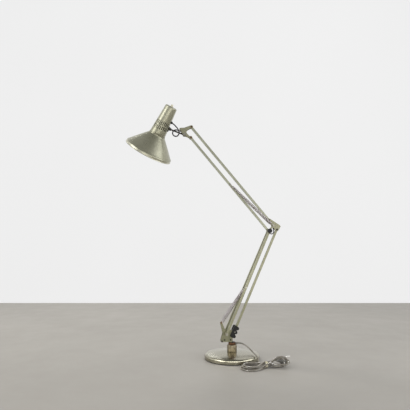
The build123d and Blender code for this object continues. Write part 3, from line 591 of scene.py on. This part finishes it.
# plug: round moulded body with a grip waist, a ribbed tail and a rim round the pin face
PLUG_AT = V(136.5, -96.0, 12.8)
PD = (PLUG_AT - V(122.5, -100.0, 12.8)); PD.z = 0; PD.normalize()
prof = [(2.5, -0.4), (3.6, -0.2), (4.3, 0.6)]
for k in range(5):
    h0 = 1.6 + k * 2.1
    prof += [(4.4 + k * 0.62, h0), (4.9 + k * 0.66, h0 + 0.5), (4.9 + k * 0.66, h0 + 1.1), (4.3 + k * 0.66, h0 + 1.6)]
prof += [(8.3, 12.6), (9.2, 13.4), (10.9, 15.6), (12.0, 18.4), (12.35, 20.6), (12.1, 21.6), (11.55, 22.6), (11.3, 25.2), (11.55, 27.8), (12.1, 29.0),
         (12.35, 30.0), (12.4, 32.6), (12.1, 33.6), (11.6, 33.95), (10.4, 34.0), (10.1, 33.6), (9.9, 33.5), (0.01, 33.5), (0.01, 0.0)]
plug = spin(prof, PLUG_AT, PD, (0, 0, 1), 48, name="mains_plug_body", sharp=38)
plug.data.materials.append(M["plug_grey"])
# grip ridges round the plug's waist
ridges = []
for k in range(28):
    w = 2 * math.pi * k / 28
    up = Vector((0, 0, 1)); sd = PD.cross(up)
    d = up * math.cos(w) + sd * math.sin(w); e = PD.cross(d)
    a0 = PLUG_AT + d * (11.2 * MM)
    v = []
    for (h, hh) in ((22.8, 0.0), (23.4, 0.55), (27.0, 0.55), (27.6, 0.0)):
        for s_, q in ((-0.62, 0.0), (-0.3, hh), (0.3, hh), (0.62, 0.0)):
            v.append(a0 + PD * (h * MM) + e * (s_ * MM) + d * (q * MM))
    f = []
    for r in range(3):
        for s_ in range(3):
            f.append((r * 4 + s_, r * 4 + s_ + 1, (r + 1) * 4 + s_ + 1, (r + 1) * 4 + s_))
    ridges.append((v, f))
rid = join_mesh("plug_grip", ridges, sharp=60)
rid.data.materials.append(M["plug_grey"])
for o in (plug, rid):
    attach(o, "base")
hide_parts("mains_plug")

# cream tie: a flat strap wound twice round the waist of the hank, its end tucked and pinched
def strap_ring(x0, x1, cy, cz, hy, hz, th, wob, n=72, power=2.6):
    v, f = [], []
    for k in range(n):
        w = 2 * math.pi * k / n
        cw, sw = math.cos(w), math.sin(w)
        rad_ = (abs(cw) ** power + abs(sw) ** power) ** (-1 / power)
        jig = 0.35 * math.sin(3 * w + wob) + 0.2 * math.sin(7 * w + 2 * wob)
        for (x, t) in ((x0, 0.25 * th), (x0 + 0.35, th * 0.85), (x0 + 1.1, th), (x1 - 1.1, th), (x1 - 0.35, th * 0.85), (x1, 0.25 * th), (x1 - 0.3, 0), (x0 + 0.3, 0)):
            y = cy + (hy + t) * rad_ * cw
            z = cz + (hz + t) * rad_ * sw
            v.append(V(x + jig, y, z))
    m_ = 8
    for k in range(n):
        k2 = (k + 1) % n
        for i in range(m_):
            j = (i + 1) % m_
            f.append((k * m_ + i, k * m_ + j, k2 * m_ + j, k2 * m_ + i))
    return v, f


TIE_C = (-132.5, 9.95)
parts = [strap_ring(86.2, 90.6, TIE_C[0], TIE_C[1], 8.6, 7.6, 1.0, 0.3), strap_ring(90.2, 94.8, TIE_C[0], TIE_C[1], 8.9, 7.7, 1.15, 1.9)]
# the knot on top and its short free end
kn = [V(86.5, -136.5, 18.0), V(88.0, -137.5, 19.0), V(90.5, -136.5, 19.5), V(92.8, -134.5, 19.3), V(94.0, -132.0, 18.6)]
parts.append(sweep(kn, [0.7 * MM, 1.5 * MM, 1.8 * MM, 1.4 * MM, 0.6 * MM], 10))
tie = join_mesh("cord_tie_strap", parts, sharp=50)
tie.data.materials.append(M["cream_plastic"])
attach(tie, "base")
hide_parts("cord_tie")

# head cable: out of the neck, one loose loop beside the tilt arm, in between the bracket plates
HEAD_CABLE = [(-224.78, -10.64, 858.05), (-216.85, -10.62, 853.8), (-208.5, -10.8, 845.0), (-201.0, -11.3, 836.5), (-196.6, -11.8, 826.5),
              (-196.2, -12.0, 816.0), (-201.5, -12.1, 808.0), (-210.0, -11.9, 806.0), (-217.8, -11.4, 810.6), (-221.0, -10.4, 819.0),
              (-217.6, -8.8, 828.2), (-209.5, -6.8, 833.2), (-199.8, -4.4, 832.2), (-191.0, -1.9, 829.4), (-182.5, -0.4, 827.0)]
hl = line_of(HEAD_CABLE, 10)
vs, fs = sweep(hl, 2.2 * MM, 14)
hc = new_mesh("head_flex", vs, fs, sharp=60)
hc.data.materials.append(M["cable_black"])
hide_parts("head_cable")
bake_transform(hc)

# elbow cable: from the near lower bar, a short loop, in between the elbow plates
ELBOW_CABLE = [(142.6, -10.2, 449.4), (149.6, -10.4, 446.6), (156.8, -9.6, 448.8), (160.4, -7.2, 455.6), (159.8, -3.4, 462.6), (159.4, -0.4, 469.6),
               (162.6, 0.3, 476.0)]
el = line_of(ELBOW_CABLE, 10)
vs, fs = sweep(el, 1.7 * MM, 14)
ec = new_mesh("elbow_flex", vs, fs, sharp=60)
ec.data.materials.append(M["cable_black"])
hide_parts("elbow_cable")
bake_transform(ec)

# ===========================================================================
# Springs: real coils on the lines between their pins
# ===========================================================================
def coil(name, p, q, y, k0, k1, turns, wire, rad_, foot=0.0, out=0.0):
    l = math.hypot(q[0] - p[0], q[1] - p[1])
    d = Vector(((q[0] - p[0]) / l, 0, (q[1] - p[1]) / l))
    n1, n2 = Vector((0, 1, 0)), d.cross(Vector((0, 1, 0)))
    o = Vector((p[0], y, p[1]))
    per = 12
    n = int(turns * per)
    line = []
    for i in range(n + 1):
        w = 2 * math.pi * i / per
        t = i / n
        k = k0 + (k1 - k0) * t
        # the last turn at each end closes in on the hook's shank
        e = min(i, n - i) / per
        r = (rad_ + foot * (1 - t)) * min(1.0, 0.05 + 0.95 * min(1.0, e / 0.8))
        line.append((o + d * k + n1 * (r * math.cos(w) + math.copysign(out, y) * (1 - t)) + n2 * (r * math.sin(w))) * MM)
    # frames from the helix itself, so that the wire doesn't twist
    verts, faces, sides = [], [], 6
    for i, c0 in enumerate(line):
        a = line[max(i - 1, 0)]; b2 = line[min(i + 1, n)]
        tg = (b2 - a).normalized()
        axis_pt = (o + d * (k0 + (k1 - k0) * i / n) + n1 * (math.copysign(out, y) * (1 - i / n))) * MM
        ra = (c0 - axis_pt)
        ra = (ra - tg * ra.dot(tg))
        ra = ra.normalized() if ra.length > 1e-9 else n1
        bn = tg.cross(ra)
        for s in range(sides):
            w = 2 * math.pi * s / sides
            verts.append(c0 + ra * (wire / 2 * MM * math.cos(w)) + bn * (wire / 2 * MM * math.sin(w)))
    for i in range(n):
        for s in range(sides):
            s2 = (s + 1) % sides
            faces.append((i * sides + s, i * sides + s2, (i + 1) * sides + s2, (i + 1) * sides + s))
    me = bpy.data.meshes.new(name)
    me.from_pydata([tuple(v) for v in verts], [], faces)
    for pl_ in me.polygons:
        pl_.use_smooth = True
    ob = bpy.data.objects.new(name, me)
    scene.collection.objects.link(ob)
    ob.data.materials.append(M["spring_steel"])
    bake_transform(ob)
    return ob


P1 = (-22.2, 88.5); P3 = (141.8, 458.5)
A_PIN = (-38.9, 126.3); B_PIN = (P1[0] + 179 * 0.40521, P1[1] + 179 * 0.91423)
E_PIN = (158.5, 479.3); F_PIN = (P3[0] - 225.9 * 0.64513, P3[1] + 225.9 * 0.76408)
for tag, s in (("near", -1), ("far", 1)):
    lo_ = coil("lower_spring_" + tag, A_PIN, B_PIN, s * 5.5, 5.6, 141.27, 80, 1.5, 4.0, 0.8, 0.35)
    up_ = coil("upper_spring_" + tag, E_PIN, F_PIN, s * 10.2, 9.5, 210.83, 150, 1.15, 3.05)
    if s == -1:
        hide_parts("lower_springs")
        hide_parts("upper_springs")

# ===========================================================================
# Shade: spun cone with a soft neck, a turned step and a rolled lip
# ===========================================================================
def shade_profile():
    pts = [(31.45, -33.1), (31.55, -34.2), (31.75, -35.4), (32.1, -36.5), (32.7, -37.6), (33.4, -38.6)]
    a, e = (34.0, -39.2), (86.8, -96.4)
    for k in range(25):
        t = k / 24
        # a spun cone is very slightly full between its ends
        full = 0.35 * math.sin(math.pi * t)
        pts.append((a[0] + (e[0] - a[0]) * t + full * 0.73, a[1] + (e[1] - a[1]) * t + full * 0.68))
    pts += [(88.0, -97.5), (89.2, -98.4), (90.3, -99.3), (91.0, -100.4), (91.35, -101.6), (91.5, -104.0), (91.6, -107.0), (91.75, -108.3),
            (92.3, -108.75), (92.8, -109.25), (92.95, -109.75), (92.7, -110.2), (92.1, -110.45), (91.3, -110.5)]
    return pts


outer = shade_profile()
inner = [(90.75, -110.3), (90.5, -109.6), (90.4, -107.0), (90.25, -103.0), (90.0, -101.6), (89.5, -100.4), (88.7, -99.4), (87.6, -98.4), (86.1, -97.1)]
for k in range(1, 25):
    t = k / 24
    inner.append((86.1 + (33.3 - 86.1) * t + 0.3 * math.sin(math.pi * t) * 0.73, -97.1 + (-39.95 + 97.1) * t + 0.3 * math.sin(math.pi * t) * 0.68))
inner += [(32.4, -38.8), (31.5, -37.4), (30.95, -35.8), (30.7, -34.2), (30.6, -33.15)]
prof = outer + inner
SEG = 160
shade = spin(prof, NM, ZL, XL, SEG, name="shade_shell", sharp=60)
shade.data.materials.append(M["head_paint"])
shade.data.materials.append(M["shade_inside"])
# faces of the inner side take the inside enamel
for p in shade.data.polygons:
    c0 = Vector(p.center) / MM - N
    zz = c0.dot(ZL)
    r_ = (c0 - ZL * zz).length
    # distance to the outer line at this height
    nrm = Vector(p.normal)
    rd = (c0 - ZL * zz).normalized()
    side = nrm.dot(rd) * 0.75 + nrm.dot(ZL) * 0.65
    if side < -0.2 and not (zz < -108.4 and r_ > 90.9):
        p.material_index = 1
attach(shade, "head")
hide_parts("shade")

# ===========================================================================
# CAD nodes: materials, and eased edges by modifiers
# ===========================================================================
NODE_MAT = {
    "base_pad": "rubber_pad", "base_weight": "cast_iron", "base_cover": "satin_nickel", "stem_post": "zinc_steel", "stem_nut": "zinc_steel",
    "stem_collar": "collar_nickel", "swivel_bushing": "copper_dull", "turret_block": "dark_steel", "turret_plates": "olive_plate_shaded",
    "turret_screws": "dark_steel", "lower_pivot_bolt": "zinc_steel", "link_bolt": "zinc_steel", "turret_spacers": "zinc_steel",
    "lower_spring_pin": "copper_brass", "link_knob": "black_plastic", "lower_arm_bars": "olive_low_shaded", "lower_anchor_pin": "zinc_steel",
    "lower_arm_wire": "dark_steel", "lower_link_bar": "olive_low_shaded", "elbow_plates": "olive_plate_upper_shaded", "elbow_bolt": "zinc_steel",
    "elbow_washer": "zinc_steel", "elbow_link_pins": "dark_steel", "upper_spring_pin": "zinc_steel", "elbow_knob": "black_plastic",
    "upper_arm_bar": "olive_paint", "upper_anchor_pin": "zinc_steel", "upper_arm_wire": "dark_steel", "upper_link_bar": "olive_paint",
    "head_bracket_plates": "olive_plate_upper_shaded", "bracket_pins": "copper_dull", "tilt_bolt": "zinc_steel", "tilt_nut": "zinc_steel",
    "tilt_arm": "dark_steel", "neck_housing": "head_paint", "shade": "head_paint", "swivel_boss": "dark_steel", "swivel_nut": "zinc_steel",
    "cable_grommet": "black_plastic", "head_cable": "cable_black", "elbow_cable": "cable_black", "lampholder": "bakelite",
    "bulb_cap": "brass", "bulb_glass": "bulb_milk", "switch_body": "black_plastic", "switch_bezel": "zinc_steel", "switch_button": "cream_plastic",
    "lower_springs": "spring_steel", "lower_spring_hooks": "copper_brass", "lower_spring_ends": "spring_steel", "upper_springs": "spring_steel",
    "upper_spring_hooks": "spring_steel", "upper_spring_ends": "spring_steel", "mains_cord_run": "cord_grey", "mains_cord_tail": "cord_grey",
    "mains_cord_hank": "cord_grey", "cord_tie": "cream_plastic", "cord_grommet": "relief_rubber", "mains_plug": "plug_grey",
    "plug_pins": "plug_pin_metal",
}
NODES = frame["nodes"]
get = lambda n: NODES[n] if isinstance(NODES, dict) and not isinstance(NODES[n], dict) else bpy.data.objects[n]
for node, key in NODE_MAT.items():
    o = get(node)
    o.data.materials.clear() if False else None
    for i in range(max(1, len(o.material_slots))):
        if not o.material_slots:
            o.data.materials.append(M[key])
        else:
            o.material_slots[i].material = M[key]

EASE = {"turret_plates": 0.35, "elbow_plates": 0.3, "head_bracket_plates": 0.3, "lower_arm_bars": 0.6, "lower_link_bar": 0.6,
        "upper_arm_bar": 0.6, "upper_link_bar": 0.6, "turret_block": 0.5, "link_knob": 0.5, "elbow_knob": 0.4, "neck_housing": 0.25,
        "swivel_boss": 0.4, "base_pad": 0.3, "stem_collar": 0.35, "swivel_bushing": 0.3, "switch_button": 0.4, "tilt_nut": 0.3}
for node, w in EASE.items():
    o = get(node)
    wd = o.modifiers.new("weld", "WELD")
    wd.merge_threshold = 0.00002
    bv = o.modifiers.new("ease", "BEVEL")
    bv.width = w * MM
    bv.segments = 2
    bv.limit_method = "ANGLE"
    bv.angle_limit = math.radians(38)
    bv.harden_normals = True
    bv.use_clamp_overlap = True

# ===========================================================================
# Studio: plain pale floor and wall, soft light
# ===========================================================================
def plane(name, pts, mat_):
    me = bpy.data.meshes.new(name)
    me.from_pydata(pts, [], [(0, 1, 2, 3)])
    o = bpy.data.objects.new(name, me)
    scene.collection.objects.link(o)
    o.data.materials.append(mat_)
    return o


fl = Mat("floor_pale")
fl.set(spec=0.35)
fc = fl.mix(fl.mapr(fl.noise(2.2, 4), 0.3, 0.7, 0, 1), srgb(149, 145, 138), srgb(156, 152, 145))
fl.color(fc)
fl.rough(fl.mapr(fl.noise(9, 5), 0.3, 0.7, 0.46, 0.58))
wl = Mat("wall_pale")
wl.set(spec=0.1, roughness=0.9, emit=0.80)
wl.b.inputs["Emission Color"].default_value = (0.98, 0.98, 0.98, 1.0)
wl.color(wl.mix(wl.mapr(wl.noise(0.8, 2), 0.3, 0.7, 0, 1), srgb(84, 84, 84), srgb(90, 90, 90)))
camp = cam.matrix_world.translation
back = camp + c_flat * 3.23
w_, d_ = 6.0, 7.0
a = back - c_right * w_; bq = back + c_right * w_
plane("floor", [(a.x, a.y, 0), (bq.x, bq.y, 0), (bq.x - c_flat.x * d_, bq.y - c_flat.y * d_, 0), (a.x - c_flat.x * d_, a.y - c_flat.y * d_, 0)][::-1], fl.m)
plane("wall", [(a.x, a.y, 0), (bq.x, bq.y, 0), (bq.x, bq.y, 4.0), (a.x, a.y, 4.0)], wl.m)

world = bpy.data.worlds.new("studio")
scene.world = world
world.use_nodes = True
wt = world.node_tree
bg = next(n for n in wt.nodes if n.type == "BACKGROUND")
tc = wt.nodes.new("ShaderNodeTexCoord")
sp = wt.nodes.new("ShaderNodeSeparateXYZ")
wt.links.new(tc.outputs["Generated"], sp.inputs[0])


def wmap(v, a_, b_, c_, d_):
    n = wt.nodes.new("ShaderNodeMapRange")
    n.interpolation_type = "SMOOTHSTEP"
    wt.links.new(v, n.inputs["Value"])
    for k, x in (("From Min", a_), ("From Max", b_), ("To Min", c_), ("To Max", d_)):
        n.inputs[k].default_value = x
    return n.outputs["Result"]


def wmath(op, a_, b_):
    n = wt.nodes.new("ShaderNodeMath")
    n.operation = op
    for i, x in enumerate((a_, b_)):
        if isinstance(x, (int, float)):
            n.inputs[i].default_value = x
        else:
            wt.links.new(x, n.inputs[i])
    return n.outputs["Value"]


# pale walls round the horizon, dimmer behind the photographer, and a dark ceiling
walls = wmap(sp.outputs[2], 0.30, 0.85, 1.0, 0.30)
room = wmap(sp.outputs[1], -0.9, 0.1, 0.56, 0.85)
left = wmap(sp.outputs[0], -0.97, -0.70, 0.6, 0.0)
horizon = wmap(sp.outputs[2], 0.10, 0.34, 0.12, 0.0)
right = wmath("MULTIPLY", wmap(sp.outputs[0], 0.35, 0.80, 0.0, 0.55), wmap(sp.outputs[2], 0.28, 0.55, 0.0, 1.0))
wt.links.new(wmath("ADD", horizon, wmath("MULTIPLY", walls, wmath("ADD", wmath("ADD", room, left), right))), bg.inputs["Strength"])
bg.inputs["Color"].default_value = (0.96, 0.98, 1.0, 1.0)


def area(name, loc, target, size, power, color=(1, 1, 1), size_y=None):
    ld = bpy.data.lights.new(name, "AREA")
    ld.energy = power
    ld.color = color
    ld.size = size
    if size_y:
        ld.shape = "RECTANGLE"
        ld.size_y = size_y
    o = bpy.data.objects.new(name, ld)
    scene.collection.objects.link(o)
    d = (Vector(target) - Vector(loc)).normalized()
    o.rotation_euler = d.to_track_quat("-Z", "Y").to_euler()
    o.location = loc
    return o


key = area("key_back", (-1.1, 1.3, 2.8), (0.05, -0.1, 0.2), 0.8, 44, (1.0, 0.99, 0.97))
top = area("top", (0.4, -0.6, 3.2), (0, 0, 0), 2.6, 22, (1, 1, 1))
for o in (key, top):
    o.visible_glossy = False
area("window_left", (-2.3, -0.75, 1.35), (-0.1, 0, 0.55), 1.1, 19, (1.0, 0.995, 0.98), 1.8)
area("fill_right", (2.3, -1.1, 1.1), (0, 0, 0.5), 1.6, 26, (0.97, 0.985, 1.0), 1.8)
low = area("bounce_front", (-0.10, -1.7, 0.26), (-0.20, 0, 0.80), 2.6, 11.0, (1.0, 0.995, 0.97), 0.6)
cards = [area("card_front", (-0.2, -2.6, 0.42), (0, 0, 0.05), 2.2, 16, (1.0, 0.995, 0.98), 0.8),
         area("card_left", (-1.9, -1.45, 0.38), (0, 0, 0.05), 0.8, 15, (1.0, 0.995, 0.98), 0.7),
         area("card_right", (1.45, -1.75, 0.38), (0, 0, 0.05), 0.4, 6, (1.0, 0.995, 0.98), 0.7)]
# the cards stand low in front and are there for the base's rim, the plug and the flex
lit = bpy.data.collections.new("card_receivers")
for o in (get("base_cover"), cord, plug, get("plug_pins")):
    lit.objects.link(o)
for o in cards:
    o.light_linking.receiver_collection = lit
shine = area("window_behind", (-0.08, 1.40, 0.74), (-0.079, -0.048, 0.02), 0.24, 0.4, (0.93, 0.97, 1.0), 0.09)
top_only = bpy.data.collections.new("shine_receivers")
top_only.objects.link(get("base_cover"))
shine.light_linking.receiver_collection = top_only
over = area("card_over_flex", (-0.45, -0.75, 1.1), (0.09, -0.13, 0.01), 0.45, 14, (1, 1, 1), 0.3)
flex_only = bpy.data.collections.new("flex_receivers")
for o in (cord, plug, tie, get("plug_pins")):
    flex_only.objects.link(o)
over.light_linking.receiver_collection = flex_only
lamp_only = bpy.data.collections.new("lamp_receivers")
for o in list(scene.objects):
    if o.type in {"MESH", "CURVE"} and o.name not in ("floor", "wall"):
        lamp_only.objects.link(o)
low.light_linking.receiver_collection = lamp_only
# the key stands close to the wall and would leave a patch of light on it
key_on = bpy.data.collections.new("key_receivers")
for o in list(lamp_only.objects) + [scene.objects["floor"]]:
    key_on.objects.link(o)
key.light_linking.receiver_collection = key_on
for o in [low, shine, over] + cards:
    o.visible_camera = False
    o.visible_diffuse = False

scene.view_settings.view_transform = "Standard"
scene.view_settings.look = "None"
scene.view_settings.exposure = 0.0
scene.view_settings.gamma = 1.0

bpy.context.view_layer.update()
